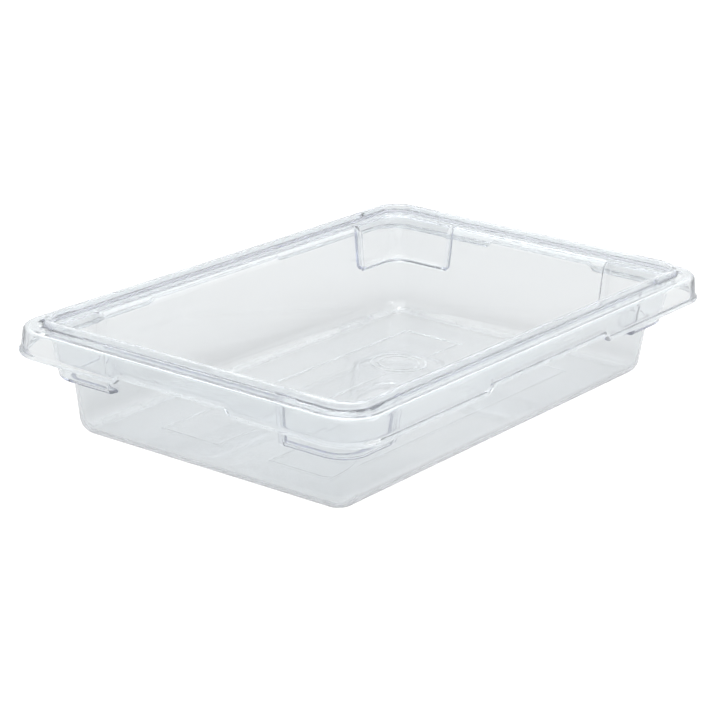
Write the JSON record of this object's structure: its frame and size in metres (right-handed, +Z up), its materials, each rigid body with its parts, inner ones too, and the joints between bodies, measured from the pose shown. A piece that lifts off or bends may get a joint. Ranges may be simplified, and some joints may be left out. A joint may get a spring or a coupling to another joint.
{
  "type": "clear food storage box",
  "caption": "Shallow rectangular clear plastic food box with a hanging skirt rim, raised lid lip, finger-grip stretches and rounded corner stacking shoulders.",
  "frame": {"origin": "centre of the footprint, on the surface the box stands on", "axes": "+X along the long sides, +Y from the front long side to the back, +Z up"},
  "size_m": [0.4572, 0.3048, 0.085],
  "materials": {
    "clear_polycarbonate": "clear gloss moulded polycarbonate, very slightly cool"
  },
  "bodies": {
    "root": {"floor_panel": "clear_polycarbonate", "floor_relief": "clear_polycarbonate", "wall_front": "clear_polycarbonate", "wall_back": "clear_polycarbonate", "wall_left": "clear_polycarbonate", "wall_right": "clear_polycarbonate", "corner_front_left": "clear_polycarbonate", "corner_front_right": "clear_polycarbonate", "corner_back_left": "clear_polycarbonate", "corner_back_right": "clear_polycarbonate", "rim_flange": "clear_polycarbonate", "lid_lip": "clear_polycarbonate", "skirt": "clear_polycarbonate"}
  },
  "joints": []
}
